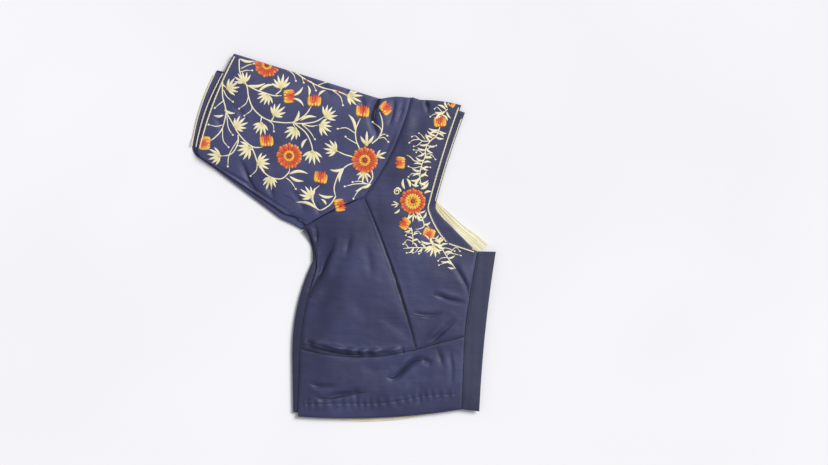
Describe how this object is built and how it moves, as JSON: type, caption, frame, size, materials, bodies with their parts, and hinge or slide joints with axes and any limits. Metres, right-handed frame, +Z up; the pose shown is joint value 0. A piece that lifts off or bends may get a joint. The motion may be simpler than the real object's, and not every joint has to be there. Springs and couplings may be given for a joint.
{
  "type": "choli blouse",
  "caption": "Saree blouse folded in half and laid flat, with princess seams, waist band, hook placket, corded neck and elbow sleeves.",
  "frame": {"origin": "middle of the folded garment's outline, on the surface it lies on", "axes": "+X across the front from the side seam to the hook placket, +Y from the hem up to the shoulder, +Z up"},
  "size_m": [0.3486, 0.4208, 0.0144],
  "materials": {
    "navy_satin": "soft satin",
    "navy_twill": "matte",
    "cream_cord": "matte",
    "cream_lining": "matte",
    "cream_thread": "silk thread",
    "orange_thread": "silk thread",
    "yellow_thread": "silk thread"
  },
  "bodies": {
    "root": {"front_side_panel": "navy_satin", "front_centre_panel": "navy_satin", "front_waist_band": "navy_satin", "hook_placket": "navy_twill", "right_sleeve": "navy_satin", "left_sleeve": "navy_satin", "folded_back_and_left_front": "navy_satin", "back_neck_panel": "navy_satin", "cream_neck_facing": "cream_lining", "hem_lining": "cream_lining", "front_neck_cord": "cream_cord", "front_neck_low_cord": "cream_cord", "right_cuff_cord": "cream_cord", "left_cuff_cord": "cream_cord", "back_neck_cord": "cream_cord"}
  },
  "joints": []
}
